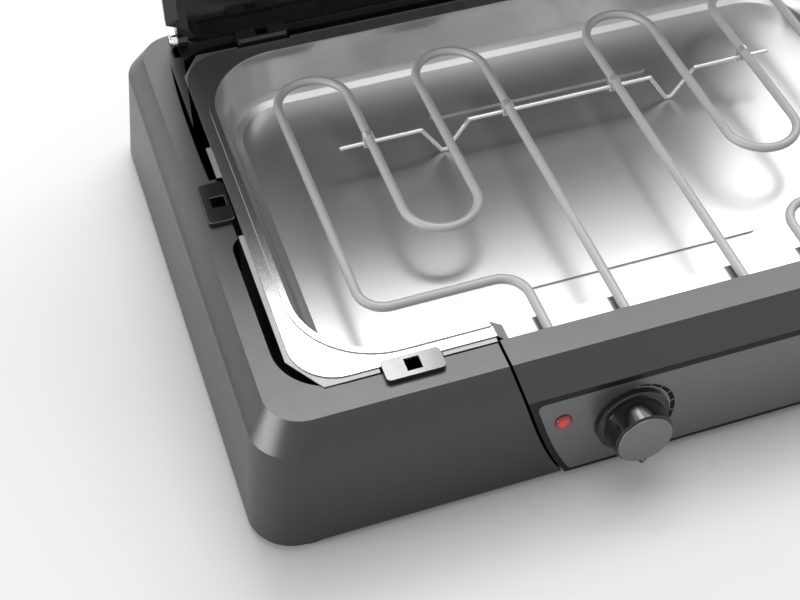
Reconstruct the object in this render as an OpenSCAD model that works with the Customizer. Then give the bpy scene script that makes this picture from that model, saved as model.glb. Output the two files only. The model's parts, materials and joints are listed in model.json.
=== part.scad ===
// Countertop electric grill. A moulded housing holds a steel water tray under two heating loops,
// a control unit drops into the front, and the lid hangs on hinge leaves that lift out.
// The origin is on the table under the middle of the base, +Z is up, the controls face -Y.
// At rest the lid stands open.

/* [Housing] */
// Width of the flat rim beside the tray
side_rim = 24; // [23:0.5:40]
// Depth of the flat rim in front of the tray
front_rim = 23.5; // [23:0.5:30]
// How far the hinge axis stands in from the rear edge of the flat rim
hinge_set = 16; // [15.5:0.5:24]
// Height of the wall, from its foot to the flat rim
wall_h = 98; // [94:1:120]
// How far the wall leans in on its way up
lean = 8; // [5:0.5:10]
// Width of the chamfer round the top
chamfer_w = 12; // [9:0.5:13]
// Height of the chamfer round the top
chamfer_h = 19; // [14:0.5:24]
// Corner radius at the foot of the wall
foot_corner_r = 30; // [26:1:40]
// Corner radius of the flat rim
rim_corner_r = 24; // [20:1:28]
// Thickness of the moulded walls
skin = 2.6; // [2:0.1:3]
// Thickness of the bottom plate
plate_t = 2.5; // [2:0.1:3.5]
// Height of the rubber feet
foot_h = 5; // [4:0.5:10]
// Diameter of the rubber feet
foot_d = 44; // [36:1:46]

/* [Water tray] */
// Width of the tray over its flange
tray_w = 506; // [496:1:508]
// Depth of the tray over its flange
tray_d = 317; // [311:1:319]
// Width of the tray's flange
flange_w = 12; // [11:0.5:14]
// Corner radius of the flange
flange_r = 30; // [26:1:36]
// Corner radius of the bath
bath_r = 54; // [46:1:60]
// How far the bath's walls lean in
bath_lean = 11; // [8:0.5:14]
// Depth of the bath below the flange
bath_h = 36; // [34:0.5:44]
// Thickness of the tray's sheet
tray_t = 1; // [0.8:0.1:1.4]
// Length of the bars pressed into the tray's floor
bar_l = 174; // [150:2:190]
// Depth of the step in front, where the tubes cross the flange
step_h = 11; // [10.5:0.1:12]
// Thickness of the heat shield's sheet
shield_t = 0.8; // [0.6:0.1:1]
// Gap in front of and beside the tray's flange
moat_w = 4.2; // [3.8:0.1:5]
// Gap behind the tray's flange
rear_moat_w = 11; // [9:0.5:12]
// Extra width of the finger recesses beside the tray
recess_w = 5.8; // [4:0.1:6.4]

/* [Heating] */
// Diameter of the heating tube
tube_d = 6.4; // [6:0.1:7]
// Depth of the tube's centre line below the flat rim
tube_drop = 4; // [3.8:0.1:4.2]
// Distance between neighbouring legs of a loop
leg_pitch = 52; // [46:1:54]
// Distance between the two innermost legs
inner_pitch = 83; // [70:1:88]
// Bend radius where the front run turns
corner_bend = 18; // [14:1:22]
// Place of the rear bends' crowns
loop_rear = 109; // [96:1:118]
// Place of the front bend's crown
loop_front = -62; // [-72:1:-50]
// Place of the front run
run_y = -115; // [-120:0.5:-104]
// Diameter of the support wire
wire_d = 3; // [2.6:0.1:3.4]
// Place of the support wire
wire_y = 38; // [20:1:60]
// Width of one foot of the support wire
wire_foot_w = 36; // [28:1:44]

/* [Control unit] */
// Width of the unit at the flat rim
unit_top_w = 254; // [240:1:264]
// Width of the unit at its foot
unit_foot_w = 186; // [176:1:200]
// Gap between the unit and the housing
unit_gap = 2; // [1:0.1:2.5]
// How far the unit's face stands in front of the wall
unit_bulge = 2; // [1:0.1:3]
// Thickness of the unit's walls
unit_wall = 2.6; // [2:0.1:3]
// Width of the black frame round the panel
border = 4; // [3:0.1:5]
// Diameter of the knob over its flange
knob_d = 50; // [44:0.5:52]
// Height of the knob in front of the panel
knob_h = 20; // [18:0.5:26]
// Place of the knob left of the middle
knob_x = 49; // [40:1:56]
// Height of the knob's axis on the face
knob_v = 36; // [34:0.5:38]
// Diameter of the shaft
shaft_d = 6; // [5:0.1:7]
// Diameter of the pilot lamp
lamp_d = 11; // [9:0.1:12]
// How far the pilot lamp stands in from the unit's upper corner
lamp_in = 30.5; // [29:0.5:33]
// Radius of the panel's corners
panel_r = 4; // [2:0.5:6]
// Height of the pilot lamp on the face
lamp_v = 50; // [46:0.5:54]

/* [Plate rests] */
// Length of a rest along its edge
rest_l = 38; // [34:1:42]
// Thickness of a rest above the rim
rest_h = 3.4; // [3:0.1:4]
// Side of the square socket
socket = 9.5; // [8:0.1:10]
// Depth of the sockets below the rim
socket_h = 16; // [12:1:20]
// Place of the front rests beside the middle
rest_x = 184; // [174:1:188]
// Place of the rear rests beside the middle
rear_rest_x = 188.5; // [176:0.5:191]
// Height of the rear rests' blocks above the rim
rear_rest_h = 7.4; // [6:0.1:8]

/* [Lid] */
// How far the lid reaches past the tray's flange at each side
lid_over = 3; // [2:0.1:3.4]
// Width of the bevel under the lid's side edges
lid_bevel = 8.7; // [7:0.1:9]
// Width of the flat lip inside the bevel
lid_lip = 6.4; // [5:0.1:7]
// Height of the lid's pan
pan_h = 12; // [11:0.5:14]
// Height of the dome above the pan
dome_h = 48.7; // [40:0.1:60]
// Wall thickness of the lid
lid_t = 2.6; // [2:0.1:3]
// Height of the hinge axis above the flat rim
axis_h = 7; // [7:0.1:8]
// Thickness of a hinge leaf
leaf_t = 4.2; // [3.6:0.1:4.6]
// Diameter of the hinge pins
pin_d = 5; // [4:0.1:6]
// Length of the lid's grip
grip_l = 150; // [120:1:180]
// Diameter of the lid's grip
grip_d = 16; // [14:0.5:20]
// Distance of the grip's centre line from the dome's front
grip_h = 32; // [28:1:40]
// Height of the grip's centre line above the lid's pan
grip_up = 21; // [19:0.5:24]

/* [Fasteners] */
// Diameter of the screws
screw_d = 3.5; // [3:0.1:4]
// Diameter of the screw heads
head_d = 7; // [6:0.1:8]

/* [Hidden] */
$fn = 64;
// Two faces that move past each other stay this far apart.
slide_gap = 0.3;
// Radial clearance of a turning shaft or pin.
run_gap = 0.05;
// Radial clearance of a screw or pin that sits still.
seat_gap = 0.05;
head_h = 2.2;
// Length of a cutter that goes right through a piece.
through = 60;

flat_z = foot_h + wall_h;
plate_top = foot_h + plate_t;
tray_top = flat_z + 2;
bead_h = 1.2;

// The lid shuts just above the tray's bead and opens until it stands behind the rear rests.
lid_z = tray_top + bead_h + 0.3;
axis_z = flat_z + axis_h;
rear_socket_in = 7.8;
rear_socket_d = 7.6;
socket_wall = 1.5;
lid_stop_gap = 0.9;
rest_to_axis = socket_wall + lid_stop_gap + axis_z - lid_z;
rear_rim = rear_socket_in + rear_socket_d / 2 + rest_to_axis + hinge_set;

rim_x = tray_w / 2 + side_rim;
rim_y = (tray_d + front_rim + rear_rim) / 2;
base_w = 2 * (rim_x + lean + chamfer_w);
base_d = 2 * (rim_y + lean + chamfer_w);

tray_y = (front_rim - rear_rim) / 2;
tray_front = tray_y - tray_d / 2;
tray_rear = tray_y + tray_d / 2;
bath_w = tray_w - 2 * flange_w;
bath_d = tray_d - 2 * flange_w;
bath_front = tray_front + flange_w;
floor_z = tray_top - bath_h;
step_z = tray_top - step_h;
step_x = unit_top_w / 2 + 1;
step_end = 10;
opening_x = tray_w / 2 + moat_w;
opening_front = tray_front - moat_w;
opening_rear = tray_rear + rear_moat_w;
moat_h = 30;

shield_gap = 3;
shield_lip = 3.5;
shield_drop = tray_t + shield_gap;
shield_under = floor_z - shield_drop - shield_t;
shield_top = tray_top - tray_t - 0.1;
post_x = 150;
post_y = 70;

tube_z = flat_z - tube_drop;
leg_x = [for (i = [0 : 3]) inner_pitch / 2 + i * leg_pitch];
bend_r = leg_pitch / 2;
wire_z = tube_z - tube_d / 2 - wire_d / 2 - 0.1;
wire_end = leg_x[2] + 20;
wire_foot_x = leg_x[1] - 5;
wire_foot_z = floor_z + wire_d / 2 + 0.1;

unit_back = tray_front - 2.5;
unit_top_z = flat_z;
unit_floor = plate_top + 0.1;
unit_lip = 4.5;
face_tilt = atan(lean / (wall_h - chamfer_h));
panel_t = 2;
cover_t = 2.5;
tube_end_y = unit_back - 7;
bead_l = 4;
// Height of the panel's frame along the face.
panel_v = (wall_h - chamfer_h - unit_lip) / cos(face_tilt) - 0.1;
gland_x = 80;
gland_y = unit_back - 20;
switch_x = -12;
switch_y = unit_back - 20;
lamp_x = unit_top_w / 2 - lamp_in;
cover_screws = [for (z = [72, 20]) [unit_half((unit_top_z - z) / wall_h) - 11, z]];

rest_w = 17.9;
side_rest_y = 2.5;
side_rest_x = tray_w / 2 + 1.3;
side_socket_x = side_rest_x + 7.3;
front_socket_y = tray_front - socket / 2 - 0.1;
rear_socket_y = tray_rear + rear_socket_in;
hold_gap = 0.3;

axis_y = rim_y - hinge_set;
lid_w = tray_w + 2 * lid_over;
lid_front = tray_front + 4.5;
lid_rear = axis_y + 4;
lid_d = lid_rear - lid_front;
lid_y = (lid_rear + lid_front) / 2;
lid_bevel_h = 5.5;
pan_top = lid_z + pan_h;
dome_top = pan_top + dome_h;
dome_w = lid_w - 2 * (lid_bevel + lid_lip + lid_t + 0.3);
dome_front = lid_front + 14;
dome_rear = lid_rear - 58;
dome_d = dome_rear - dome_front;
dome_y = (dome_front + dome_rear) / 2;
leaf_x = tray_w / 2 - 1;
leaf_half = leaf_t / 2;
leaf_r = pin_d / 2 + 3;
leaf_down = 20;
leaf_front = axis_y + 1;
leaf_rear = axis_y + 12.5;
slot_front = axis_y - 11;
slot_rear = leaf_rear + 0.5;
slot_h = leaf_down + 4;
ear_out = leaf_x - leaf_half - 0.5;
ear_in = ear_out - 7;
notch_x = ear_out - 4;
notch_y = axis_y - 13;
grip_z = pan_top + grip_up;
grip_x = grip_l / 2 - 15;
// The grip's posts stand on bosses of the dome's front wall.
boss_t = 1.5;
boss_in = 9;
grip_out = grip_h - boss_t;
post_sink = 1.5;
post_l = grip_out - grip_d / 2 + post_sink;
rib_x = [26, 43, 121, 138];

// The flat rim has a tongue at each rear corner, between the tray and a curved recess.
tongue_x = tray_w / 2 + 6.4;
tongue_tip = tray_rear - 71.5;
tongue_in = tray_w / 2 - 5.7;
tongue_back = tray_rear + 14.7;
rear_recess_y = tray_rear - 126.5;
rear_recess_end = tray_rear + 2;
rear_recess_mid = tray_rear - 78.5;

screw_places = [
    [base_w / 2 - 26, 120],
    [base_w / 2 - 26, -120],
    [200, -rim_y + 10],
    [120, rim_y - 10],
];
foot_x = base_w / 2 - foot_d / 2 - 13;
foot_y = base_d / 2 - foot_d / 2 - 1;

// A rectangle with round corners, about the origin.
module plan(w, d, r) {
    square([w - 2 * r, d], center = true);
    square([w, d - 2 * r], center = true);
    for (sx = [-1, 1], sy = [-1, 1])
        translate([sx * (w / 2 - r), sy * (d / 2 - r)])
            circle(r);
}

// One level of a hull.
module slice(w, d, r, z) {
    translate([0, 0, z])
        linear_extrude(0.01)
            plan(w, d, r);
}

// A box between two corners.
module block(a, b) {
    translate(a)
        cube([b[0] - a[0], b[1] - a[1], b[2] - a[2]]);
}

// The same thing on the left and on the right.
module both_sides() {
    children();
    mirror([1, 0, 0])
        children();
}

// A screw whose head's seat is at the origin; it goes up by length and its head hangs below.
module screw(length) {
    cylinder(d = screw_d, h = length);
    translate([0, 0, -head_h])
        cylinder(d = head_d, h = head_h);
}

module screw_hole(length) {
    translate([0, 0, -1])
        cylinder(d = screw_d + 2 * seat_gap, h = length + 1);
}

// Places a part on the control unit's face: x across, v up the face, n out of it.
module on_face(x, v, n) {
    translate([0, -base_d / 2 - unit_bulge, foot_h])
        rotate([90 - face_tilt, 0, 0])
            translate([x, v, n])
                children();
}

module body_form() {
    hull() {
        slice(base_w, base_d, foot_corner_r, foot_h);
        slice(base_w - 2 * lean, base_d - 2 * lean, foot_corner_r - 1, flat_z - chamfer_h);
        slice(2 * rim_x, 2 * rim_y, rim_corner_r, flat_z - 0.01);
    }
}

// The hollow under the housing, one skin inside the body form.
module body_hollow() {
    slope = chamfer_w / chamfer_h;
    side = skin * sqrt(1 + slope * slope);
    wall_x = rim_x + chamfer_w - skin;
    wall_y = rim_y + chamfer_w - skin;
    top_in = side - skin * slope;
    hull() {
        slice(base_w - 2 * skin, base_d - 2 * skin, foot_corner_r - skin, foot_h - 1);
        slice(2 * wall_x, 2 * wall_y, foot_corner_r - 1 - skin,
            flat_z - chamfer_h - (side - skin) / slope);
        slice(2 * (rim_x - top_in), 2 * (rim_y - top_in), rim_corner_r - 1, flat_z - skin);
    }
}

// How far out the curved recess beside the tray reaches at the place y.
function rear_recess_x(y) =
    tongue_x + 3.4 - 3.6 * pow(abs(y - rear_recess_mid) / 80, 2.5);

// The opening in the flat rim, grown by out: the tray's own, a finger recess at each end and a
// curved recess behind it.
module opening(out) {
    front_w = 2 * (opening_x + recess_w + out);
    front_end = -30 + out;
    steps = 12;
    reach = rear_recess_end - rear_recess_y + 2 * out;
    edge = [for (i = [0 : steps]) rear_recess_y - out + reach * i / steps];
    translate([0, (opening_front + opening_rear) / 2])
        plan(2 * (opening_x + out), opening_rear - opening_front + 2 * out, 32 + out);
    translate([0, opening_front - out + 50])
        plan(front_w, 100, 36.6 + out);
    translate([0, front_end - 50])
        plan(front_w, 100, 12);
    both_sides()
        polygon(concat(
            [[opening_x - 20, edge[steps]], [opening_x - 20, edge[0]]],
            [for (y = edge) [rear_recess_x(y) + out, y]]));
}

// The tongues at the rear corners, from above.
module tongues() {
    both_sides()
        polygon([
            [tongue_x, tongue_tip], [tongue_x, rear_recess_end - 3],
            [rim_x - 6, rear_recess_end - 3], [rim_x - 6, tongue_back + 4],
            [tongue_in, tongue_back + 4], [tongue_in, tongue_back],
        ]);
}

// Half the unit's width at a share s of the way down the wall.
function unit_half(s) =
    unit_top_w / 2 - (unit_top_w - unit_foot_w) / 2 * (0.79 * s + 0.21 * pow(s, 5));

// The unit's outline seen from the front, grown by out.
module unit_outline(out) {
    steps = 12;
    right = [for (i = [0 : steps])
        [unit_half(i / steps) + out, unit_top_z - wall_h * i / steps]];
    left = [for (i = [steps : -1 : 0]) [-right[i][0], right[i][1]]];
    polygon(concat(right, left));
}

// The unit's outline as a solid from y0 back to y1.
module unit_prism(out, y0, y1) {
    translate([0, y1, 0])
        rotate([90, 0, 0])
            linear_extrude(y1 - y0)
                unit_outline(out);
}

// The unit's side view, one wall further in for every in, as a solid of the full width.
module unit_side(in, back) {
    panel_back = (panel_t + seat_gap) / cos(face_tilt);
    front = -base_d / 2 - unit_bulge + panel_back + in / cos(face_tilt);
    knee_z = unit_top_z - chamfer_h - unit_lip;
    knee_y = front + (knee_z - foot_h) * tan(face_tilt);
    rotate([90, 0, 90])
        translate([0, 0, -unit_top_w])
            linear_extrude(2 * unit_top_w)
                polygon([
                    [front, foot_h],
                    [knee_y, knee_z - in / 2],
                    [knee_y - (in > 0 ? 0 : panel_back), knee_z - in / 2],
                    [-rim_y + in / 2, unit_top_z - in],
                    [back, unit_top_z - in],
                    [back, foot_h],
                ]);
}

// The bath's inside, and with out and drop its outside.
module bath_form(out, drop) {
    fall = bath_lean / bath_h;
    foot = floor_z - drop;
    hull() {
        slice(bath_w + 2 * out, bath_d + 2 * out, bath_r + out, tray_top);
        slice(bath_w + 2 * (out - fall * (bath_h - 8)), bath_d + 2 * (out - fall * (bath_h - 8)),
            bath_r + out - fall * (bath_h - 8), foot + 8);
        slice(bath_w + 2 * (out - bath_lean - 1), bath_d + 2 * (out - bath_lean - 1),
            bath_r + out - bath_lean - 1, foot + 2.2);
        slice(bath_w + 2 * (out - bath_lean - 6), bath_d + 2 * (out - bath_lean - 6),
            bath_r + out - bath_lean - 6, foot);
    }
}

// The step in the tray's front where the tubes cross, as a solid from y0 to y1, grown by out.
module step_prism(out, y0, y1) {
    foot_half = step_x - step_end;
    slope = step_end / step_h;
    side = out * sqrt(1 + slope * slope);
    translate([0, y1, 0])
        rotate([90, 0, 0])
            linear_extrude(y1 - y0)
                polygon([
                    [-step_x - 4 * slope - side, tray_top + 4],
                    [-foot_half + out * slope - side, step_z - out],
                    [foot_half - out * slope + side, step_z - out],
                    [step_x + 4 * slope + side, tray_top + 4],
                ]);
}

module tube_straight(x, y0, y1, d) {
    translate([x, y1, tube_z])
        rotate([90, 0, 0])
            cylinder(d = d, h = y1 - y0);
}

// A bend in the tube's plane about x, y, from the angle a on over turn degrees.
module tube_bend(x, y, r, a, turn) {
    translate([x, y, tube_z])
        rotate([0, 0, a])
            rotate_extrude(angle = turn)
                translate([r, 0])
                    circle(d = tube_d);
}

// The room round the four tube ends and their pins in the control unit.
module tube_ends(d) {
    for (i = [0, 1])
        both_sides()
            tube_straight(leg_x[i], tube_end_y - bead_l - 0.5, unit_back + 1, d);
}

module housing() {
    color("dimgray")
        difference() {
            body_form();
            difference() {
                body_hollow();
                // Wall that goes down round the tray.
                translate([0, 0, flat_z - moat_h])
                    linear_extrude(moat_h)
                        opening(skin);
                // Walls of the bay for the control unit, down to the bottom plate.
                intersection() {
                    unit_prism(unit_gap + skin, -base_d, unit_back);
                    block([-unit_top_w, -base_d, plate_top + 0.1], [unit_top_w, 0, flat_z]);
                }
                for (p = screw_places)
                    both_sides()
                        translate([p[0], p[1], plate_top])
                            cylinder(d = screw_d + 5.5, h = wall_h);
                // Sockets of the hinge leaves.
                both_sides()
                    block([leaf_x - leaf_half - slide_gap - skin, slot_front - 1, flat_z - slot_h - skin],
                        [leaf_x + leaf_half + slide_gap + skin, slot_rear + skin / 2, flat_z]);
            }
            difference() {
                translate([0, 0, flat_z - moat_h - 1])
                    linear_extrude(moat_h + 2)
                        opening(0);
                translate([0, 0, flat_z - skin])
                    linear_extrude(skin + 2)
                        tongues();
            }
            unit_prism(unit_gap, -base_d, unit_back + 2);
            block([-unit_half(0) - unit_gap, -rim_y, flat_z - 1],
                [unit_half(0) + unit_gap, unit_back + 2, flat_z + 1]);
            both_sides() {
                block([leaf_x - leaf_half - slide_gap, slot_front, flat_z - slot_h],
                    [leaf_x + leaf_half + slide_gap, slot_rear, flat_z + 1]);
                rest_cut_side();
                rest_cut_end(rest_x, front_socket_y, socket);
                rest_cut_end(rear_rest_x, rear_socket_y, rear_socket_d);
            }
            for (p = screw_places)
                both_sides()
                    translate([p[0], p[1], plate_top])
                        screw_hole(18);
        }
}

module rest_cut_side() {
    half = socket / 2 + socket_wall + hold_gap;
    block([side_socket_x - half, side_rest_y - half, flat_z - socket_h - 2],
        [side_socket_x + half, side_rest_y + half, flat_z + 1]);
}

module rest_cut_end(x, y, depth) {
    half = socket / 2 + socket_wall + hold_gap;
    reach = depth / 2 + socket_wall + hold_gap;
    block([x - half, y - reach, flat_z - socket_h - 2], [x + half, y + reach, flat_z + 1]);
}

module bottom_plate() {
    inset = skin + 0.5;
    color("black")
        difference() {
            union() {
                translate([0, 0, foot_h])
                    linear_extrude(plate_t)
                        plan(base_w - 2 * inset, base_d - 2 * inset, foot_corner_r - inset);
                both_sides()
                    for (sy = [-1, 1])
                        translate([post_x, tray_y + sy * post_y, foot_h])
                            cylinder(d = 14, h = shield_under - foot_h);
            }
            for (p = screw_places)
                both_sides()
                    translate([p[0], p[1], foot_h])
                        screw_hole(plate_t + 1);
            both_sides() {
                for (sy = [-1, 1]) {
                    translate([foot_x, sy * foot_y, foot_h - 1])
                        cylinder(d = 10 + 2 * seat_gap, h = plate_t + 2);
                    translate([post_x, tray_y + sy * post_y, shield_under - 16])
                        cylinder(d = screw_d + 2 * seat_gap, h = 20);
                }
                // Air slots.
                for (i = [0 : 7])
                    translate([40 + i * 12, tray_y, foot_h - 1])
                        linear_extrude(plate_t + 2)
                            plan(5, 90, 2.4);
            }
            translate([gland_x, gland_y, foot_h - 1])
                cylinder(d = 20, h = plate_t + 2);
        }
}

module feet() {
    color("black")
        both_sides()
            for (sy = [-1, 1])
                translate([foot_x, sy * foot_y, 0]) {
                    cylinder(d1 = foot_d - 4, d2 = foot_d, h = 2);
                    translate([0, 0, 2])
                        cylinder(d = foot_d, h = foot_h - 2);
                    cylinder(d = 10, h = plate_top + 1);
                    translate([0, 0, plate_top])
                        cylinder(d1 = 12, d2 = 9, h = 2.5);
                }
}

module bottom_screws() {
    color("silver")
        for (p = screw_places)
            both_sides()
                translate([p[0], p[1], foot_h])
                    screw(18);
}

// The shield's flange from above.
module shield_flange_plan() {
    half_w = tray_w / 2 + shield_lip;
    front = tray_front - shield_lip;
    rear = tray_rear + shield_lip;
    tab_end = 99;
    step_in = 2 * tab_end;
    difference() {
        polygon([
            [-half_w + 17, front], [half_w - 17, front],
            [half_w, front + 26], [half_w, rear - 26],
            [half_w - 17, rear], [-half_w + 17, rear],
            [-half_w, rear - 26], [-half_w, front + 26],
        ]);
        // The sides step in at the rests and behind the tabs.
        for (sx = [-1, 1]) {
            translate([sx * (half_w + 3.5), side_rest_y - 4])
                square([14, rest_l + 19], center = true);
            translate([sx * (half_w + 3.5), rear + step_in / 2 - tab_end])
                square([14, step_in], center = true);
            translate([sx * rest_x, tray_front - 2])
                square([rest_l + 2, 8], center = true);
            translate([sx * rear_rest_x, tray_rear + 3])
                square([rest_l + 2, 8], center = true);
        }
    }
}

module heat_shield() {
    color("lightgray")
        difference() {
            union() {
                translate([0, 0, shield_top - shield_t])
                    linear_extrude(shield_t)
                        shield_flange_plan();
                translate([0, tray_y, 0])
                    bath_form(shield_gap + shield_t, shield_drop + shield_t);
            }
            translate([0, tray_y, 0])
                bath_form(shield_gap, shield_drop);
            translate([0, 0, shield_top])
                linear_extrude(10)
                    square([2 * tray_w, 2 * tray_d], center = true);
            step_prism(tray_t + 0.4, tray_front - 20, bath_front + 8);
            both_sides()
                for (sy = [-1, 1])
                    translate([post_x, tray_y + sy * post_y, shield_under - 1])
                        cylinder(d = screw_d + 2 * seat_gap, h = 4);
        }
}

module shield_screws() {
    color("silver")
        both_sides()
            for (sy = [-1, 1])
                translate([post_x, tray_y + sy * post_y, shield_under + shield_t])
                    mirror([0, 0, 1])
                        screw(14);
}

module water_tray() {
    color("gainsboro")
        union() {
            difference() {
                union() {
                    difference() {
                        translate([0, tray_y, 0]) {
                            translate([0, 0, tray_top - tray_t])
                                linear_extrude(tray_t)
                                    plan(tray_w, tray_d, flange_r);
                            // Bead round the bath.
                            translate([0, 0, tray_top - tray_t])
                                linear_extrude(tray_t + bead_h)
                                    plan(bath_w + 8, bath_d + 8, bath_r + 4);
                            bath_form(tray_t, tray_t);
                        }
                        step_prism(0, tray_front - 1, bath_front + 8);
                    }
                    intersection() {
                        difference() {
                            step_prism(tray_t, tray_front, bath_front + 5);
                            step_prism(0, tray_front - 1, bath_front + 8);
                        }
                        block([-step_x - 5, tray_front, step_z - 5],
                            [step_x + 5, bath_front + 5, tray_top]);
                    }
                }
                translate([0, tray_y, 0])
                    bath_form(0, 0);
                translate([0, tray_y, tray_top])
                    linear_extrude(5)
                        plan(bath_w, bath_d, bath_r);
            }
            // Bars in the floor.
            for (y = [-94, 84])
                translate([0, tray_y + y, floor_z - tray_t / 2])
                    linear_extrude(tray_t / 2 + 1.5)
                        plan(bar_l, 14, 5);
        }
}

// The block round a rest's square socket, below the rim.
module socket_walls(depth) {
    w = socket + 2 * socket_wall;
    d = depth + 2 * socket_wall;
    translate([-w / 2, -d / 2, flat_z - socket_h])
        cube([w, d, socket_h + 1]);
}

module socket_hole(depth) {
    translate([-socket / 2, -depth / 2, flat_z - socket_h + 1.5])
        cube([socket, depth, socket_h + 20]);
}

module side_rest() {
    difference() {
        union() {
            translate([side_rest_x + rest_w / 2, side_rest_y, flat_z])
                linear_extrude(rest_h)
                    plan(rest_w, rest_l - 0.7, 3);
            translate([side_socket_x, side_rest_y, 0])
                socket_walls(socket);
        }
        translate([side_socket_x, side_rest_y, 0])
            socket_hole(socket);
    }
}

module front_rest() {
    plate_front = front_socket_y - 8.5;
    plate_back = tray_front + 3.1;
    difference() {
        union() {
            translate([0, (plate_front + plate_back) / 2, flat_z])
                linear_extrude(rest_h)
                    plan(rest_l, plate_back - plate_front, 3);
            translate([0, front_socket_y, 0])
                socket_walls(socket);
        }
        translate([0, front_socket_y, 0])
            socket_hole(socket);
        // Room for the tray's flange under the lip, and for its edge beside the socket.
        block([-rest_l, tray_front - 0.1, flat_z - socket_h - 1],
            [rest_l, tray_front + 20, tray_top + hold_gap]);
    }
}

module rear_rest() {
    block_front = tray_rear + 2.5;
    block_back = rear_socket_y + rear_socket_d / 2 + socket_wall;
    difference() {
        union() {
            translate([0, (block_front + block_back) / 2, flat_z])
                linear_extrude(rear_rest_h)
                    plan(rest_l, block_back - block_front, 2.5);
            translate([0, block_back + 2, flat_z])
                linear_extrude(1.4)
                    plan(rest_l, 15, 2.5);
            translate([0, rear_socket_y, 0])
                socket_walls(rear_socket_d);
        }
        translate([0, rear_socket_y, 0])
            socket_hole(rear_socket_d);
    }
}

module side_rest_left() {
    color("black")
        mirror([1, 0, 0])
            side_rest();
}

module side_rest_right() {
    color("black")
        side_rest();
}

module front_rest_left() {
    color("black")
        translate([-rest_x, 0, 0])
            front_rest();
}

module front_rest_right() {
    color("black")
        translate([rest_x, 0, 0])
            front_rest();
}

module rear_rest_left() {
    color("black")
        translate([-rear_rest_x, 0, 0])
            rear_rest();
}

module rear_rest_right() {
    color("black")
        translate([rear_rest_x, 0, 0])
            rear_rest();
}

module unit_case() {
    inner_floor = unit_floor + unit_wall;
    color("darkslategray")
        difference() {
            intersection() {
                unit_side(0, unit_back);
                unit_prism(0, -base_d, 0);
            }
            difference() {
                intersection() {
                    unit_side(unit_wall, unit_back + 1);
                    unit_prism(-unit_wall, -base_d, 0);
                    block([-unit_top_w, -base_d, inner_floor], [unit_top_w, 0, unit_top_z]);
                }
                for (p = cover_screws)
                    both_sides()
                        translate([p[0], unit_back - cover_t - 0.1, p[1]])
                            rotate([90, 0, 0])
                                cylinder(d = screw_d + 4.5, h = 60);
            }
            // The bottom plate runs in under the floor, behind the skirt of the face.
            block([-unit_top_w, -base_d / 2 + skin, 0], [unit_top_w, 0, unit_floor]);
            for (p = cover_screws)
                both_sides()
                    translate([p[0], unit_back, p[1]])
                        rotate([90, 0, 0])
                            screw_hole(16);
            on_face(-knob_x, knob_v, -panel_t - 10)
                cylinder(d = shaft_d + 4.4, h = 20);
            on_face(-lamp_x, lamp_v, -panel_t - 10)
                cylinder(d = lamp_d - 2, h = 20);
            translate([gland_x, gland_y, 0])
                cylinder(d = 12.4, h = 30);
            translate([switch_x, switch_y, 0])
                cylinder(d = 5, h = 30);
            tube_ends(tube_d + 0.6);
        }
}

module unit_rear_cover() {
    gap = unit_wall + 0.15;
    color("black")
        difference() {
            intersection() {
                unit_prism(-gap, unit_back - cover_t, unit_back);
                block([-unit_top_w, -base_d, unit_floor + gap],
                    [unit_top_w, 0, unit_top_z - gap]);
            }
            for (p = cover_screws)
                both_sides()
                    translate([p[0], unit_back, p[1]])
                        rotate([90, 0, 0])
                            screw_hole(10);
            tube_ends(tube_d + 0.6);
        }
}

module unit_screws() {
    color("silver")
        for (p = cover_screws)
            both_sides()
                translate([p[0], unit_back, p[1]])
                    rotate([90, 0, 0])
                        screw(14);
}

// Half the width of the unit's face at the height v on it, and how far its side slants there.
function face_half(v) = unit_half((wall_h - v * cos(face_tilt)) / wall_h);
function face_slant(v) = atan((face_half(v + 1) - face_half(v - 1)) / 2);

// The right side of an outline on the unit's face, from its top to its bottom, with corners of
// radius r, as far in from the unit's own outline as inset.
function face_side(inset, v0, v1, r) =
    let (
        steps = 6,
        top = v1 - r,
        low = v0 + r,
        top_slant = face_slant(top),
        low_slant = face_slant(low),
        top_x = face_half(top) - inset - r / cos(top_slant),
        low_x = face_half(low) - inset - r / cos(low_slant)
    )
    concat(
        [for (i = [0 : steps]) let (a = 90 - i * (90 + top_slant) / steps)
            [top_x + r * cos(a), top + r * sin(a)]],
        [for (i = [1 : 9]) let (v = top - i * (top - low) / 10)
            [face_half(v) - inset, v]],
        [for (i = [0 : steps]) let (a = -low_slant - i * (90 - low_slant) / steps)
            [low_x + r * cos(a), low + r * sin(a)]]);

// A slab of the unit's face between the heights v0 and v1 on it, from n0 out to n1.
module face_slab(inset, v0, v1, r, n0, n1) {
    right = face_side(inset, v0, v1, r);
    left = [for (i = [len(right) - 1 : -1 : 0]) [-right[i][0], right[i][1]]];
    on_face(0, 0, n0)
        linear_extrude(n1 - n0)
            polygon(concat(right, left));
}

module panel_frame() {
    color("black")
        difference() {
            face_slab(0, 0.3, panel_v, 1, -panel_t, 0);
            face_slab(border, 2.4, panel_v - border - 1.2, panel_r + 0.1, -panel_t - 1, 1);
        }
}

module panel_plate() {
    color("silver")
        difference() {
            face_slab(border + 0.1, 2.5, panel_v - border - 1.3, panel_r, -panel_t, -0.3);
            on_face(-knob_x, knob_v, -panel_t - 1)
                cylinder(d = shaft_d + 6, h = panel_t + 2);
            on_face(-lamp_x, lamp_v, -panel_t - 1)
                cylinder(d = lamp_d + 0.2, h = panel_t + 2);
        }
}

module lamp_lens() {
    color("red")
        on_face(-lamp_x, lamp_v, -panel_t)
            intersection() {
                cylinder(d = lamp_d, h = 10);
                translate([0, 0, -lamp_d + 4.4])
                    sphere(d = 2 * lamp_d);
            }
}

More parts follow.
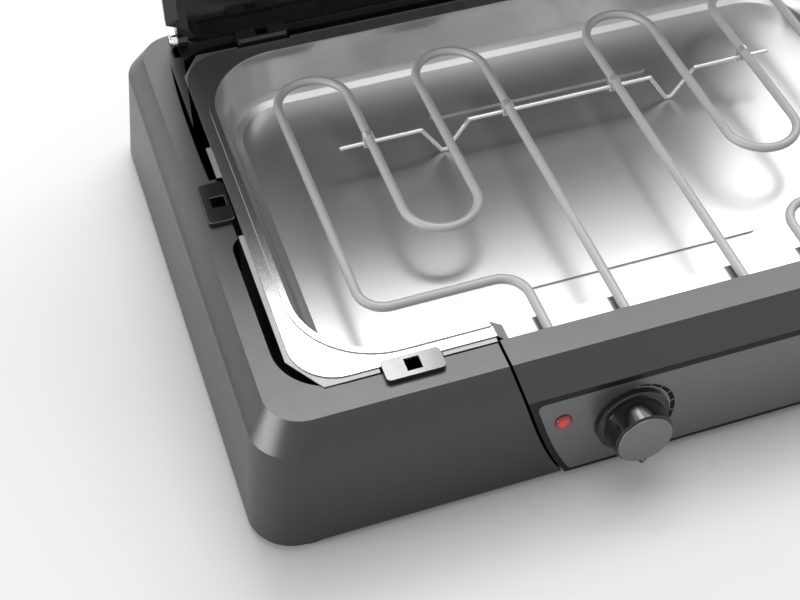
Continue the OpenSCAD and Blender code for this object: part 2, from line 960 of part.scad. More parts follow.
module lamp_holder() {
    color("black")
        on_face(-lamp_x, lamp_v, -panel_t - unit_wall - 0.2) {
            translate([0, 0, -12])
                cylinder(d = lamp_d + 4, h = 12);
            cylinder(d = lamp_d - 2.2, h = unit_wall + 0.1);
            for (x = [-3, 3])
                translate([x - 0.4, -2, -18])
                    cube([0.8, 4, 7]);
        }
}

module thermostat() {
    inside = panel_t + unit_wall + 0.2;
    color("silver")
        on_face(-knob_x, knob_v, 0)
            difference() {
                union() {
                    translate([-18, -15, -inside - 22])
                        cube([36, 30, 22]);
                    translate([0, 0, -inside])
                        cylinder(d = shaft_d + 4, h = inside - 0.5);
                    for (x = [-10, 6])
                        translate([x, -3, -inside - 28])
                            cube([0.8, 6.3, 7]);
                }
                translate([0, 0, -inside - 12])
                    cylinder(d = shaft_d + 2 * run_gap, h = 40);
            }
}

module thermostat_shaft() {
    inside = panel_t + unit_wall + 11;
    color("silver")
        on_face(-knob_x, knob_v, -inside)
            cylinder(d = shaft_d, h = inside + knob_h - 6);
}

module knob() {
    r = knob_d / 2;
    color("black")
        on_face(-knob_x, knob_v, 0)
            difference() {
                union() {
                    rotate_extrude()
                        polygon([
                            [0, 0.6], [r, 0.6], [r, 3], [r - 1, 4], [r - 4, 4.6],
                            [r - 5, knob_h - 1], [r - 6, knob_h], [0, knob_h],
                        ]);
                    // Nose that points at the scale.
                    translate([0, 0, 4])
                        linear_extrude(knob_h - 4)
                            polygon([[-3.4, -r + 6], [3.4, -r + 6], [0.8, -r + 2.4], [-0.8, -r + 2.4]]);
                }
                translate([0, 0, -1])
                    cylinder(d = shaft_d + 2 * seat_gap, h = knob_h - 4.5);
                // Hollow round the hub.
                difference() {
                    translate([0, 0, -1])
                        cylinder(r = r - 8, h = knob_h - 4);
                    translate([0, 0, -2])
                        cylinder(d = shaft_d + 6, h = knob_h);
                }
            }
}

module knob_face() {
    r = knob_d / 2;
    color("gray")
        on_face(-knob_x, knob_v, knob_h)
            union() {
                cylinder(r = r - 6.4, h = 0.8);
                linear_extrude(0.8)
                    polygon([[-2, 1], [2, 1], [2, -r + 7.2], [0, -r + 3.6], [-2, -r + 7.2]]);
            }
}

module terminal_block() {
    color("white")
        translate([24, gland_y - 8, unit_floor + unit_wall])
            difference() {
                cube([36, 16, 16]);
                for (i = [0 : 2])
                    translate([6 + 12 * i, 8, 6])
                        cylinder(d = 4, h = 20);
            }
}

module safety_switch() {
    color("black")
        translate([switch_x, switch_y, unit_floor]) {
            translate([-10, -12, unit_wall])
                cube([20, 24, 14]);
            translate([0, 0, 0.2])
                cylinder(d = 4, h = unit_wall + 1);
            for (y = [-7, 7])
                translate([-0.4, y - 2, unit_wall + 13])
                    cube([0.8, 4, 7]);
        }
}

module cord_gland() {
    color("black")
        translate([gland_x, gland_y, 0])
            difference() {
                union() {
                    translate([0, 0, foot_h - 2])
                        cylinder(d = 12, h = 16);
                    translate([0, 0, unit_floor + unit_wall])
                        cylinder(d = 17, h = 3);
                    translate([0, 0, foot_h - 2])
                        cylinder(d = 17, h = unit_floor - foot_h + 1.8);
                }
                cylinder(d = 7, h = through);
            }
}

module tube_bracket() {
    y = unit_back - cover_t - 0.1;
    color("silver")
        difference() {
            block([-leg_x[1] - 8, y - 1.5, tube_z - 15],
                [leg_x[1] + 8, y, unit_top_z - unit_wall - 0.2]);
            both_sides()
                for (i = [0, 1])
                    translate([leg_x[i], y + 1, tube_z])
                        rotate([90, 0, 0])
                            cylinder(d = tube_d + 2 * seat_gap, h = 4);
        }
}

module tube_terminals() {
    color("white")
        both_sides()
            for (i = [0, 1])
                translate([leg_x[i], tube_end_y - 0.05, tube_z])
                    rotate([90, 0, 0]) {
                        cylinder(d = tube_d - 1.6, h = bead_l);
                        cylinder(d = 2.4, h = bead_l + 7);
                    }
}

// One heating tube, seen from above: two terminal legs, three bends and the front run.
module heating_loop() {
    rear_y = loop_rear - bend_r;
    front_y = loop_front + bend_r;
    run_back = run_y + corner_bend;
    tube_straight(leg_x[0], tube_end_y, rear_y, tube_d);
    tube_bend(leg_x[0] + bend_r, rear_y, bend_r, 0, 180);
    tube_straight(leg_x[1], front_y, rear_y, tube_d);
    tube_bend(leg_x[1] + bend_r, front_y, bend_r, 180, 180);
    tube_straight(leg_x[2], front_y, rear_y, tube_d);
    tube_bend(leg_x[2] + bend_r, rear_y, bend_r, 0, 180);
    tube_straight(leg_x[3], run_back, rear_y, tube_d);
    tube_bend(leg_x[3] - corner_bend, run_back, corner_bend, 270, 90);
    translate([leg_x[1] + corner_bend, run_y, tube_z])
        rotate([0, 90, 0])
            cylinder(d = tube_d, h = leg_pitch * 2 - 2 * corner_bend);
    tube_bend(leg_x[1] + corner_bend, run_y - corner_bend, corner_bend, 90, 90);
    tube_straight(leg_x[1], tube_end_y, run_y - corner_bend, tube_d);
}

module heating_loop_left() {
    color("silver")
        mirror([1, 0, 0])
            heating_loop();
}

module heating_loop_right() {
    color("silver")
        heating_loop();
}

// A straight piece of the support wire between two points of the plane y = wire_y.
module wire_piece(x0, z0, x1, z1) {
    length = sqrt((x1 - x0) * (x1 - x0) + (z1 - z0) * (z1 - z0));
    translate([x0, wire_y, z0])
        rotate([0, atan2(x1 - x0, z1 - z0), 0])
            cylinder(d = wire_d, h = length);
    for (p = [[x0, z0], [x1, z1]])
        translate([p[0], wire_y, p[1]])
            sphere(d = wire_d);
}

module support_wire() {
    foot_in = wire_foot_x - wire_foot_w / 2;
    foot_out = wire_foot_x + wire_foot_w / 2;
    color("silver") {
        wire_piece(-foot_in, wire_z, foot_in, wire_z);
        both_sides() {
            wire_piece(foot_in, wire_z, wire_foot_x - 2, wire_foot_z);
            wire_piece(wire_foot_x - 2, wire_foot_z, wire_foot_x + 2, wire_foot_z);
            wire_piece(wire_foot_x + 2, wire_foot_z, foot_out, wire_z);
            wire_piece(foot_out, wire_z, wire_end, wire_z);
        }
    }
}

// Straps that hold the wire under the tubes.
module wire_straps() {
    r = tube_d / 2 + 0.1;
    drop = tube_z - wire_z + wire_d / 2 + 0.1;
    color("silver")
        both_sides()
            for (i = [0, 2])
                translate([leg_x[i], wire_y + 2.5, tube_z])
                    rotate([90, 0, 0])
                        difference() {
                            linear_extrude(5)
                                difference() {
                                    union() {
                                        circle(r + 0.8);
                                        translate([-r - 0.8, -drop - 0.8])
                                            square([2 * r + 1.6, drop + 0.8]);
                                    }
                                    circle(r);
                                    translate([-r, -drop])
                                        square([2 * r, drop]);
                                }
                            translate([0, wire_z - tube_z, 2.5])
                                rotate([0, 90, 0])
                                    cylinder(d = wire_d + 0.2, h = 20, center = true);
                        }
}

// A hinge leaf seen from the side: a round head on the axis and a stem that goes down.
module leaf() {
    translate([leaf_x - leaf_half, axis_y, axis_z])
        rotate([90, 0, 90])
            linear_extrude(leaf_t)
                difference() {
                    union() {
                        circle(leaf_r);
                        polygon([
                            [leaf_front - axis_y, -axis_h - leaf_down],
                            [leaf_rear - axis_y, -axis_h - leaf_down],
                            [leaf_rear - axis_y, -1.5], [5, leaf_r], [0, leaf_r],
                            [leaf_front - axis_y, 0],
                        ]);
                    }
                    circle(d = pin_d + 2 * seat_gap);
                }
}

module pin() {
    translate([ear_in - 0.6, axis_y, axis_z])
        rotate([0, 90, 0])
            cylinder(d = pin_d, h = leaf_x + leaf_half - ear_in + 1);
    translate([leaf_x + leaf_half + 0.05, axis_y, axis_z])
        rotate([0, 90, 0])
            cylinder(d = pin_d + 3, h = 1.5);
}

module hinge_leaf_left() {
    color("silver")
        mirror([1, 0, 0])
            leaf();
}

module hinge_leaf_right() {
    color("silver")
        leaf();
}

module hinge_pin_left() {
    color("silver")
        mirror([1, 0, 0])
            pin();
}

module hinge_pin_right() {
    color("silver")
        pin();
}

// Turns a piece of the closed lid up to where it stands open.
module opened() {
    translate([0, axis_y, axis_z])
        rotate([-90, 0, 0])
            translate([0, -axis_y, -axis_z])
                children();
}

// The dome's outside, and with in its inside.
module dome_form(in) {
    translate([0, dome_y, 0])
        hull() {
            slice(dome_w - 2 * in, dome_d - 2 * in, 45 - in, pan_top - lid_t);
            slice(dome_w - 2 * in - 6, dome_d - 2 * in - 6, 45 - in, pan_top + 0.4 * dome_h);
            slice(dome_w - 2 * in - 16, dome_d - 2 * in - 16, 45 - in,
                pan_top + 0.72 * dome_h - in / 2);
            slice(dome_w - 2 * in - 32, dome_d - 2 * in - 32, 40 - in,
                pan_top + 0.93 * dome_h - in);
            slice(dome_w - 2 * in - 52, dome_d - 2 * in - 52, 34 - in, dome_top - in);
        }
}

// The lid's pan: beveled below at its sides, with a small draft in front and behind.
module pan_form() {
    translate([0, lid_y, 0])
        hull() {
            slice(lid_w - 2 * lid_bevel, lid_d - 2, 14, lid_z);
            slice(lid_w, lid_d, 19, lid_z + lid_bevel_h);
            slice(lid_w - 0.6, lid_d - 0.6, 18.7, pan_top - 0.01);
        }
}

// Places a piece of the grip on the closed dome's front: x across, y up, z out of it.
module on_dome(x, out) {
    translate([x, dome_front - boss_t, grip_z])
        rotate([90, 0, 0])
            translate([0, 0, out])
                children();
}

module lid_shell() {
    color("black")
        opened()
            difference() {
                union() {
                    difference() {
                        union() {
                            pan_form();
                            dome_form(0);
                            both_sides()
                                on_dome(grip_x, -12)
                                    cylinder(d = 24, h = 12);
                        }
                        translate([0, lid_y, lid_z - 1])
                            linear_extrude(pan_h - lid_t + 1)
                                plan(lid_w - 2 * (lid_bevel + lid_lip), lid_d - 2 * lid_t, 16);
                        dome_form(lid_t);
                    }
                    // Seats of the grip's screws.
                    both_sides()
                        on_dome(grip_x, -boss_t - boss_in)
                            cylinder(d = head_d + 5, h = boss_in);
                    // Ribs under the pan.
                    both_sides()
                        for (x = rib_x)
                            block([x - 0.6, dome_rear - lid_t, pan_top - lid_t - 2.5],
                                [x + 0.6, lid_rear - 1, pan_top - lid_t + 0.1]);
                    // Hinge ears.
                    both_sides() {
                        block([ear_in, axis_y - 19, lid_z], [ear_out, axis_y, pan_top]);
                        block([ear_in, axis_y - 1, axis_z], [ear_out, axis_y + 6.7, pan_top]);
                        translate([ear_in, axis_y, axis_z])
                            rotate([0, 90, 0])
                                cylinder(r = leaf_r, h = ear_out - ear_in);
                    }
                }
                both_sides() {
                    block([ear_out, notch_y, lid_z - 1], [lid_w, lid_rear + 1, pan_top + 1]);
                    translate([ear_in - 3, axis_y, axis_z])
                        rotate([0, 90, 0])
                            cylinder(d = pin_d + 2 * run_gap, h = ear_out - ear_in + 4);
                    on_dome(grip_x, -through / 2)
                        cylinder(d = screw_d + 2 * seat_gap, h = through);
                }
            }
}

module grip_posts() {
    color("black")
        opened()
            both_sides()
                on_dome(grip_x, 0)
                    difference() {
                        cylinder(d1 = 20, d2 = 13, h = post_l);
                        translate([0, 0, -1])
                            cylinder(d = screw_d + 2 * seat_gap, h = post_l + 2);
                    }
}

module lid_grip() {
    color("black")
        opened()
            on_dome(0, grip_out)
                difference() {
                    union() {
                        rotate([0, 90, 0])
                            cylinder(d = grip_d, h = grip_l - grip_d, center = true);
                        both_sides()
                            translate([grip_l / 2 - grip_d / 2, 0, 0])
                                sphere(d = grip_d);
                    }
                    both_sides() {
                        translate([grip_x, 0, -grip_d])
                            cylinder(d = screw_d + 2 * seat_gap, h = grip_d + 4);
                        // Flat seat of the post.
                        translate([grip_x - 8, -8, -grip_d])
                            cube([16, 16, grip_d / 2 + post_sink]);
                    }
                }
}

module grip_screws() {
    color("silver")
        opened()
            both_sides()
                on_dome(grip_x, -boss_t - boss_in)
                    screw(boss_t + boss_in + grip_out + 3);
}

housing();
bottom_plate();
feet();
bottom_screws();
heat_shield();
shield_screws();
water_tray();
side_rest_left();
side_rest_right();
front_rest_left();
front_rest_right();
rear_rest_left();
rear_rest_right();
unit_case();
unit_rear_cover();
unit_screws();
panel_frame();
panel_plate();
lamp_lens();
lamp_holder();
thermostat();
terminal_block();
safety_switch();
tube_bracket();
tube_terminals();
heating_loop_left();
heating_loop_right();
support_wire();
wire_straps();
cord_gland();
knob();
knob_face();
thermostat_shaft();
hinge_leaf_left();
hinge_leaf_right();
hinge_pin_left();
hinge_pin_right();
lid_shell();
grip_posts();
lid_grip();
grip_screws();
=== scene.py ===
"""Countertop electric grill with its lid open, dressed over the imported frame."""

import json
import math

import bmesh
import bpy
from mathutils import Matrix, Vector


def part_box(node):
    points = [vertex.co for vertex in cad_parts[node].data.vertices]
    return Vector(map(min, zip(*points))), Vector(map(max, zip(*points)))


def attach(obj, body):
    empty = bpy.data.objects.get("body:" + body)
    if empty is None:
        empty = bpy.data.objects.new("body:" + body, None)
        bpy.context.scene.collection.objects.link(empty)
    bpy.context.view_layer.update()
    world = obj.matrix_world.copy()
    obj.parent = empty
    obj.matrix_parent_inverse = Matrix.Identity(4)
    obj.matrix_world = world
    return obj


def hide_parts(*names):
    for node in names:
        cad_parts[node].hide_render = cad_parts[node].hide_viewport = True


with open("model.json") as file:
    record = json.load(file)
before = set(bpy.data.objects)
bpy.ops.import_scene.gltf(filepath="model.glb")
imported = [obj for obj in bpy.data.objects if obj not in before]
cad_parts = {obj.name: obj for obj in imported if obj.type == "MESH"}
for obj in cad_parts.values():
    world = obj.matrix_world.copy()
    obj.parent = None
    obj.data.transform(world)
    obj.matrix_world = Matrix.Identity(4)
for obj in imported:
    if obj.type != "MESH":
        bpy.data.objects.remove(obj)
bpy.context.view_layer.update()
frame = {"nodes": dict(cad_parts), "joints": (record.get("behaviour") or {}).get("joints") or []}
MM = 0.001


# Camera, floor and light.
# The view is from the left of the controls and above, with a long lens. Wide soft lights hang
# behind and above the lid, so that level faces shine and the lid's inside stays black, and a low
# one on the left picks out the housing's corner.
bpy.context.scene.view_settings.view_transform = "Standard"
eye = bpy.data.objects.new("camera", bpy.data.cameras.new("camera"))
eye.data.lens = 66.56
eye.data.clip_start = 0.05
eye.location = Vector((-370.5, -693.1, 800.2)) * MM
look = Vector((0.2117, 0.6236, -0.7525))
eye.rotation_mode = "QUATERNION"
eye.rotation_quaternion = look.to_track_quat("-Z", "Y")
bpy.context.scene.collection.objects.link(eye)
bpy.context.scene.camera = eye


def soft_light(name, size, watts, place, aim):
    """A rectangular area light at a place, turned towards a point."""
    lamp = bpy.data.lights.new(name, "AREA")
    lamp.shape = "RECTANGLE"
    lamp.size, lamp.size_y = size
    lamp.energy = watts
    stand = bpy.data.objects.new(name, lamp)
    stand.location = place
    stand.rotation_mode = "QUATERNION"
    stand.rotation_quaternion = (Vector(aim) - Vector(place)).to_track_quat("-Z", "Y")
    bpy.context.scene.collection.objects.link(stand)


grill_middle = (0.0, 0.0, 0.1)
left_front_rim = (-0.2, -0.15, 0.1)
left_front_corner = (-0.28, -0.2, 0.09)
soft_light("rear_light", (2.4, 0.9), 27, (0.69, 1.31, 1.85), grill_middle)
soft_light("rear_panel", (0.55, 0.35), 5, (0.07, 1.23, 2.03), left_front_rim)
soft_light("top_light", (1.8, 1.2), 17, (0.1, 0.6, 2.2), grill_middle)
soft_light("corner_light", (1.7, 0.7), 34, (-2.35, -0.45, 0.45), left_front_corner)


class Value:
    """A shader socket that adds, multiplies and divides like a number."""

    def __init__(self, finish, socket):
        self.finish = finish
        self.socket = socket

    def maths(self, operation, *others):
        return self.finish.node("Math", {"operation": operation}, dict(enumerate([self, *others])))

    def __add__(self, other):
        return self.maths("ADD", other)

    def __sub__(self, other):
        return self.maths("SUBTRACT", other)

    def __rsub__(self, other):
        return self.finish.node("Math", {"operation": "SUBTRACT"}, {0: other, 1: self})

    def __mul__(self, other):
        return self.maths("MULTIPLY", other)

    def __truediv__(self, other):
        return self.maths("DIVIDE", other)

    def __pow__(self, other):
        return self.maths("POWER", other)

    def larger(self, other):
        return self.maths("MAXIMUM", other)

    def clamped(self):
        return self.maths("MAXIMUM", 0.0).maths("MINIMUM", 1.0)

    __radd__ = __add__
    __rmul__ = __mul__


class Finish:
    """A material in the making. The keywords are constants of its Principled shader."""

    def __init__(self, name, **constants):
        self.material = bpy.data.materials.new(name)
        self.material.use_nodes = True
        self.tree = self.material.node_tree
        self.shader = self.tree.nodes["Principled BSDF"]
        self.wire(**constants)

    def feed(self, socket, value):
        if isinstance(value, Value):
            self.tree.links.new(value.socket, socket)
        elif isinstance(value, tuple) and len(value) == 3 and socket.type == "RGBA":
            socket.default_value = (*value, 1.0)
        else:
            socket.default_value = value

    def node(self, kind, settings=None, inputs=None, outlet=0):
        made = self.tree.nodes.new("ShaderNode" + kind)
        for key, value in (settings or {}).items():
            setattr(made, key, value)
        for key, value in (inputs or {}).items():
            self.feed(made.inputs[key], value)
        return Value(self, made.outputs[outlet])

    def wire(self, **inputs):
        for name, value in inputs.items():
            self.feed(self.shader.inputs[name.replace("_", " ")], value)

    def painted(self):
        return Value(self, self.shader.outputs[0])

    def place(self, stretch=(1.0, 1.0, 1.0)):
        """The point on the piece in metres, stretched along its axes."""
        spot = self.node("TexCoord", outlet=3)
        return self.node("Mapping", inputs={"Vector": spot, "Scale": stretch})

    def axis(self, letter):
        """One coordinate of the point on the piece, in millimetres."""
        spot = self.node("TexCoord", outlet=3)
        return self.node("SeparateXYZ", inputs={0: spot}, outlet="XYZ".index(letter)) * 1000.0

    def noise(self, cell, stretch=(1.0, 1.0, 1.0), detail=3.0, rough=0.5):
        """Noise from 0 to 1 whose blotches are about cell millimetres across."""
        sockets = {
            "Vector": self.place(stretch),
            "Scale": 1000.0 / cell,
            "Detail": detail,
            "Roughness": rough,
        }
        return self.node("TexNoise", {"normalize": True}, sockets)

    def between(self, share, first, second):
        """A colour that goes from first to second with share."""
        sockets = {"Factor": share, 6: (*first, 1.0), 7: (*second, 1.0)}
        return self.node("Mix", {"data_type": "RGBA"}, sockets, outlet=2)

    def bump(self, height, depth, strength=1.0):
        """A normal from a height from 0 to 1 that is depth millimetres deep."""
        sockets = {"Strength": strength, "Distance": depth * MM, "Height": height}
        return self.node("Bump", inputs=sockets)


floor_paint = Finish("pale_floor", Roughness=0.7, Specular_IOR_Level=0.2)
clouds = floor_paint.noise(400.0)
floor_paint.wire(Base_Color=floor_paint.between(clouds, (0.86, 0.86, 0.86), (0.89, 0.89, 0.89)))
floor_size = 40.0
bpy.ops.mesh.primitive_plane_add(size=floor_size, location=(0.0, 0.0, 0.0))
floor = bpy.context.object
floor.name = "floor"
floor.data.materials.append(floor_paint.material)

SEEN_BY = ("Is Camera Ray", "Is Glossy Ray", "Is Transmission Ray")
fade_start = 650.0
fade_length = 1500.0
shown = 0.0
for ray_kind in SEEN_BY:
    shown = floor_paint.node("LightPath", outlet=ray_kind).larger(shown)
along = floor_paint.axis("X")
behind = floor_paint.axis("Y")
away = (along * along + behind * behind) ** 0.5
far = ((away - fade_start) / fade_length).clamped()
white = floor_paint.node("Emission", inputs={"Strength": 1.0})
faded = floor_paint.node("MixShader", inputs={0: shown * far, 1: floor_paint.painted(), 2: white})
floor_paint.tree.links.new(faded.socket, floor_paint.tree.nodes["Material Output"].inputs["Surface"])

world = bpy.data.worlds.new("studio")
bpy.context.scene.world = world
world.use_nodes = True
sky = world.node_tree
light_path = sky.nodes.new("ShaderNodeLightPath")
seen = light_path.outputs[SEEN_BY[0]]
for ray_kind in SEEN_BY[1:]:
    largest = sky.nodes.new("ShaderNodeMath")
    largest.operation = "MAXIMUM"
    sky.links.new(seen, largest.inputs[0])
    sky.links.new(light_path.outputs[ray_kind], largest.inputs[1])
    seen = largest.outputs[0]
either = sky.nodes.new("ShaderNodeMixShader")
sky.links.new(seen, either.inputs[0])
glow_on_grill = 0.36
backdrop_white = 1.0
for place, light, strength in (
    (1, sky.nodes["Background"], glow_on_grill),
    (2, sky.nodes.new("ShaderNodeBackground"), backdrop_white),
):
    light.inputs["Color"].default_value = (1.0, 1.0, 1.0, 1.0)
    light.inputs["Strength"].default_value = strength
    sky.links.new(light.outputs[0], either.inputs[place])
sky.links.new(either.outputs[0], sky.nodes["World Output"].inputs["Surface"])


# Housing and rubber feet.
# One deep moulding in satin anthracite plastic. Its level rim, the chamfer round it and the
# leaning walls meet in soft edges, and the feet are moulded rubber pads pressed into the plate.
same_point = 0.004 * MM
same_plane = math.radians(0.6)
sharp_edge = math.radians(32.0)


def eased(node, body, finish, width=0.5, steps=2, angle=28.0):
    """A copy of a CAD node with its edges rounded to width millimetres, which stands for it."""
    cad = frame["nodes"][node]
    piece = bpy.data.objects.new(node + "_piece", cad.data.copy())
    bpy.context.scene.collection.objects.link(piece)
    piece.data.materials.clear()
    piece.data.materials.append(finish.material)
    work = bmesh.new()
    work.from_mesh(piece.data)
    bmesh.ops.remove_doubles(work, verts=work.verts, dist=same_point)
    bmesh.ops.dissolve_limit(
        work, angle_limit=same_plane, verts=work.verts, edges=work.edges, delimit={"NORMAL"}
    )
    work.to_mesh(piece.data)
    work.free()
    piece.data.shade_smooth()
    if width:
        rounding = piece.modifiers.new("edges", "BEVEL")
        rounding.width = width * MM
        rounding.segments = steps
        rounding.limit_method = "ANGLE"
        rounding.angle_limit = math.radians(angle)
        rounding.use_clamp_overlap = True
        flats = piece.modifiers.new("flat_faces", "WEIGHTED_NORMAL")
        flats.mode = "FACE_AREA"
        flats.keep_sharp = True
        shape = piece.evaluated_get(bpy.context.evaluated_depsgraph_get())
        piece.data = bpy.data.meshes.new_from_object(shape)
        piece.modifiers.clear()
    else:
        piece.data.set_sharp_from_angle(angle=sharp_edge)
    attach(piece, body)
    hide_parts(node)


def moulded(name, dark, light, rough, grain=0.012, sheen=0.5):
    """Moulded plastic: faint cloudy colour and a fine even grain."""
    plastic = Finish(name, Specular_IOR_Level=sheen)
    cloud = plastic.noise(60.0)
    plastic.wire(
        Base_Color=plastic.between(cloud, dark, light),
        Roughness=rough + 0.06 * (plastic.noise(9.0) - 0.5),
        Normal=plastic.bump(plastic.noise(0.7, detail=2.0), grain, 0.6),
    )
    return plastic


anthracite_dark = (0.005, 0.005, 0.0052)
anthracite_light = (0.008, 0.008, 0.0082)
anthracite = moulded("anthracite_plastic", anthracite_dark, anthracite_light, 0.36, sheen=0.8)
eased("housing", "base", anthracite, width=1.2, steps=3)
pad_rubber = moulded("pad_rubber", (0.016, 0.016, 0.016), (0.024, 0.024, 0.024), 0.75, grain=0.03)
eased("feet", "base", pad_rubber, width=1.0)


# Bottom plate and its screws.
# A plain black moulding with air slots and four posts; the screws go up into the housing.
base_black = moulded("base_plastic", (0.018, 0.018, 0.019), (0.026, 0.026, 0.027), 0.5)
eased("bottom_plate", "base", base_black, width=0.3)
zinc = Finish("zinc_plate", Metallic=1.0)
zinc.wire(
    Base_Color=zinc.between(zinc.noise(2.0), (0.50, 0.50, 0.48), (0.68, 0.68, 0.66)),
    Roughness=0.3 + 0.15 * zinc.noise(1.5),
)
for node in ("bottom_screws", "shield_screws", "unit_screws"):
    eased(node, "base", zinc, width=0.3)


# Heat shield.
# Rolled aluminised sheet under the tray. Only its light grey lip shows, just outside the flange.
rolled = Finish("rolled_sheet", Metallic=1.0)
rolled.wire(
    Base_Color=rolled.between(rolled.noise(14.0), (0.24, 0.245, 0.245), (0.29, 0.29, 0.285)),
    Roughness=0.46 + 0.08 * rolled.noise(4.0, (1.0, 6.0, 1.0)),
    Normal=rolled.bump(rolled.noise(0.8, (0.1, 1.0, 1.0)), 0.01, 0.5),
)
eased("heat_shield", "base", rolled, width=0.25)


# Water tray.
# Deep drawn stainless sheet, bright on the flange and satin in the bath, with fine lines that
# run across it and two pressed bars in the floor.
stainless = Finish("stainless_sheet", Metallic=1.0)
lines = stainless.noise(0.5, (0.02, 1.0, 1.0), detail=2.0)
bath_top = 80.0
satin_fade = 8.0
bath = ((bath_top - stainless.axis("Z")) / satin_fade).clamped()
stainless.wire(
    Base_Color=stainless.between(stainless.noise(80.0), (0.46, 0.46, 0.455), (0.52, 0.52, 0.515)),
    Roughness=0.19 + 0.14 * bath + 0.03 * lines,
    Normal=stainless.bump(lines, 0.004, 0.4),
)
eased("water_tray", "base", stainless, width=1.0, steps=3, angle=20.0)


# Plate rests.
# Six glossy black clips of heat-proof plastic, each with a square socket, snapped into the rim.
clip_dark = (0.014, 0.014, 0.015)
clip_light = (0.02, 0.02, 0.021)
clip_black = moulded("clip_plastic", clip_dark, clip_light, 0.12, grain=0.002, sheen=0.8)
for side in ("left", "right"):
    for spot in ("side", "front", "rear"):
        eased(f"{spot}_rest_{side}", "base", clip_black, width=0.5)


# Control unit.
# A drop-in case in the housing's plastic, with a rear cover, and what it holds inside.
eased("unit_case", "base", anthracite, width=1.0, steps=3)
eased("unit_rear_cover", "base", base_black, width=0.3)
plain_steel = Finish("plain_steel", Metallic=1.0)
plain_steel.wire(
    Base_Color=plain_steel.between(plain_steel.noise(5.0), (0.52, 0.52, 0.51), (0.64, 0.64, 0.63)),
    Roughness=0.32 + 0.1 * plain_steel.noise(2.0),
)
for node in ("thermostat", "tube_bracket"):
    eased(node, "base", plain_steel, width=0.3)
steatite = moulded("steatite", (0.78, 0.76, 0.70), (0.86, 0.84, 0.79), 0.45)
for node in ("terminal_block", "tube_terminals"):
    eased(node, "base", steatite, width=0.2)
for node in ("safety_switch", "lamp_holder", "cord_gland"):
    eased(node, "base", base_black, width=0.3)


# Panel.
# A brushed dark grey plate in a black frame. The scale round the knob is printed: a thin ring and
# blocks that grow from left to right. The right half is bare.
deep_black = (0.004, 0.004, 0.004)
soft_black = (0.006, 0.006, 0.006)
frame_black = moulded("frame_black", deep_black, soft_black, 0.3, grain=0.004, sheen=0.22)
eased("panel_frame", "base", frame_black, width=0.4)
brushed = Finish("brushed_panel", Metallic=0.85)
strokes = brushed.noise(0.35, (0.012, 1.0, 1.0), detail=4.0, rough=0.7)
brushed.wire(
    Base_Color=brushed.between(strokes, (0.13, 0.133, 0.137), (0.22, 0.225, 0.23)),
    Roughness=0.3 + 0.12 * strokes,
    Normal=brushed.bump(strokes, 0.01, 0.5),
)
eased("panel_plate", "base", brushed, width=0.3)

knob_turn = next(joint for joint in frame["joints"] if joint["name"] == "knob_turn")
knob_middle = Vector(knob_turn["pos_m"]) / MM
panel_out = -Vector(knob_turn["axis"])
panel_right = Vector((1.0, 0.0, 0.0))
panel_up = panel_out.cross(panel_right)
ink_height = -0.24
ink_depth = 0.12
ink_step = 3.0


def printed(name, finish, middle, blocks):
    """Flat marks on the panel: arcs from angle to angle, clockwise from the top, in degrees."""
    ink = bmesh.new()
    for start, end, inner, outers in blocks:
        steps = max(2, round((end - start) / ink_step))
        rim = []
        for step in range(steps + 1):
            share = step / steps
            turn = math.radians(start + (end - start) * share)
            aim = panel_right * math.sin(turn) + panel_up * math.cos(turn)
            outer = outers[0] + (outers[1] - outers[0]) * share
            foot = middle + panel_out * ink_height
            rim.append([ink.verts.new((foot + aim * radius) * MM) for radius in (inner, outer)])
        for (a, b), (c, d) in zip(rim, rim[1:]):
            ink.faces.new((a, b, d, c))
    lift = bmesh.ops.extrude_face_region(ink, geom=ink.faces[:])
    raised = [part for part in lift["geom"] if isinstance(part, bmesh.types.BMVert)]
    bmesh.ops.translate(ink, verts=raised, vec=-panel_out * ink_depth * MM)
    bmesh.ops.recalc_face_normals(ink, faces=ink.faces)
    sheet = bpy.data.meshes.new(name)
    ink.to_mesh(sheet)
    ink.free()
    marks = bpy.data.objects.new(name, sheet)
    bpy.context.scene.collection.objects.link(marks)
    sheet.materials.append(finish.material)
    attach(marks, "base")


ink_black = moulded("ink_black", deep_black, soft_black, 0.5, grain=0.001, sheen=0.1)
ink_grey = moulded("ink_grey", (0.34, 0.34, 0.34), (0.40, 0.40, 0.40), 0.4, grain=0.001)
block_angle = 15.8
block_inner = 27.3
block_outer = 27.6
block_growth = 2.8
grown_at = 62.0
scale_start = 8
block_pitch = 18
scale_end = 134
scale_blocks = []
for start in range(scale_start, scale_end, block_pitch):
    end = start + block_angle
    outers = [block_outer + block_growth * min(1.0, angle / grown_at) for angle in (start, end)]
    scale_blocks.append((start, end, block_inner, outers))
printed("scale_blocks", ink_black, knob_middle, scale_blocks)
ring_start = 4
ring_inner = 26.4
ring_outer = 26.9
ring = (ring_start, scale_end, ring_inner, (ring_outer, ring_outer))
printed("scale_ring", ink_grey, knob_middle, [ring])


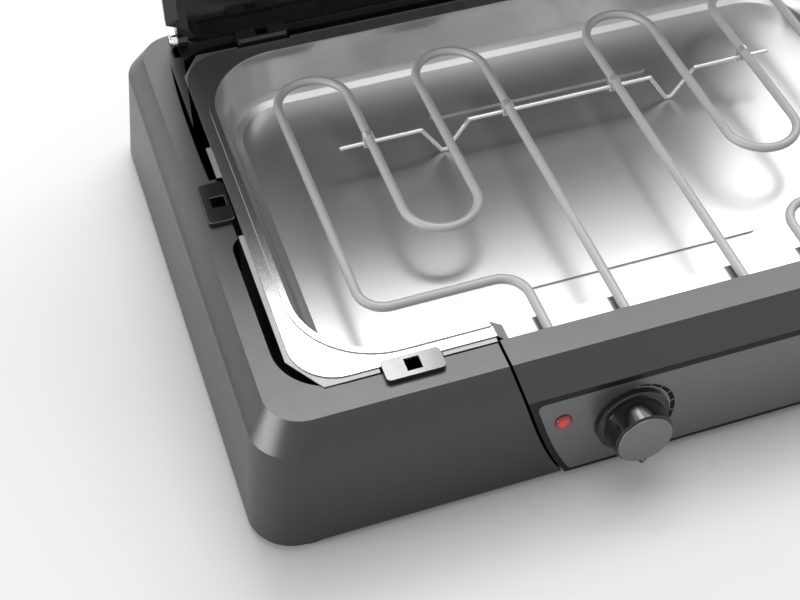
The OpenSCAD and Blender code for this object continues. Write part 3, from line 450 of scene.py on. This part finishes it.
# Pilot lamp.
# A clear red lens over a neon bulb. It glows faintly all over; in its colour a brighter middle is
# painted glow from the bulb and a dark rim is painted shade.
lens_low, lens_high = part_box("lamp_lens")
lens_middle = (lens_low + lens_high) / (2 * MM)
lens_radius = (lens_high.x - lens_low.x) / (2 * MM)
lens_red = Finish("lens_red", Roughness=0.08, Emission_Strength=0.1)
lens_red.wire(Coat_Weight=0.6, Coat_Roughness=0.04)
across = lens_red.axis("X") - lens_middle.x
upwards = lens_red.axis("Z") - lens_middle.z
spread = (across * across + upwards * upwards) ** 0.5 / lens_radius
# The lens's base colour goes from painted glow at the middle to painted shade at the rim, with a
# little noise where the shade begins.
rim_shade_start = 0.45
rim_shade_width = 0.45
painted_rim_shade = ((spread - rim_shade_start) / rim_shade_width + 0.25 * (lens_red.noise(2.5) - 0.5)).clamped()
lens_red.wire(
    Base_Color=lens_red.between(painted_rim_shade, (0.62, 0.022, 0.035), (0.085, 0.002, 0.006)),
    Emission_Color=(0.9, 0.02, 0.03),
)
eased("lamp_lens", "base", lens_red, width=0.3)


# Knob.
# High gloss black with a pointed nose, and a grey satin cap let into its front.
knob_dark = (0.006, 0.006, 0.007)
knob_light = (0.009, 0.009, 0.010)
gloss_black = moulded("gloss_black", knob_dark, knob_light, 0.12, grain=0.002, sheen=0.5)
eased("knob", "knob", gloss_black, width=0.5, steps=3)
cap_grey = Finish("cap_grey", Metallic=0.9)
turned = cap_grey.noise(0.5, (0.05, 1.0, 1.0))
cap_grey.wire(
    Base_Color=cap_grey.between(turned, (0.16, 0.163, 0.166), (0.22, 0.224, 0.228)),
    Roughness=0.3 + 0.1 * turned,
)
eased("knob_face", "knob", cap_grey, width=0.25)
eased("thermostat_shaft", "knob", plain_steel, width=0.3)


# Heating loops.
# Satin grey steel tube, bent cold, with the faint bloom of a few warm-ups on it.
tube_grey = Finish("tube_grey", Metallic=0.12)
bloom = tube_grey.noise(25.0)
tube_grey.wire(
    Base_Color=tube_grey.between(bloom, (0.44, 0.455, 0.45), (0.50, 0.51, 0.505)),
    Roughness=0.42 + 0.08 * tube_grey.noise(6.0),
    Normal=tube_grey.bump(tube_grey.noise(0.6), 0.012, 0.6),
)
for side in ("left", "right"):
    eased(f"heating_loop_{side}", "base", tube_grey, width=0)


# Support wire.
# Bright steel wire under the loops, with two feet that stand on the tray's floor.
wire_bright = Finish("wire_bright", Metallic=0.7)
wire_bright.wire(
    Base_Color=wire_bright.between(wire_bright.noise(10.0), (0.78, 0.78, 0.77), (0.86, 0.86, 0.85)),
    Roughness=0.2 + 0.1 * wire_bright.noise(4.0),
)
eased("support_wire", "base", wire_bright, width=0)
eased("wire_straps", "base", wire_bright, width=0.15)


# Hinge leaves and pins.
# Polished steel. The leaves slide up out of their slots in the rim with the lid on them.
polished = Finish("polished_steel", Metallic=1.0)
polished.wire(
    Base_Color=polished.between(polished.noise(8.0), (0.70, 0.70, 0.69), (0.80, 0.80, 0.79)),
    Roughness=0.1 + 0.1 * polished.noise(3.0),
)
for node in ("hinge_leaf_left", "hinge_leaf_right", "hinge_pin_left", "hinge_pin_right"):
    eased(node, "lid_carrier", polished, width=0.4)


# Lid.
# A pressed lid with a deep glossy black coat inside and out, and a grip on two posts.
coat = Finish("lid_coat", Specular_IOR_Level=0.6)
coat.wire(
    Base_Color=coat.between(coat.noise(50.0), (0.008, 0.008, 0.009), (0.012, 0.012, 0.013)),
    Roughness=0.12 + 0.05 * coat.noise(20.0),
    Normal=coat.bump(coat.noise(9.0, detail=1.0), 0.02, 0.3),
)
eased("lid_shell", "lid", coat, width=0.8, steps=3, angle=24.0)
grip_black = moulded("grip_plastic", (0.016, 0.016, 0.017), (0.024, 0.024, 0.025), 0.42)
eased("grip_posts", "lid", grip_black, width=0.6)
eased("lid_grip", "lid", grip_black, width=0.4)
eased("grip_screws", "lid", zinc, width=0.3)
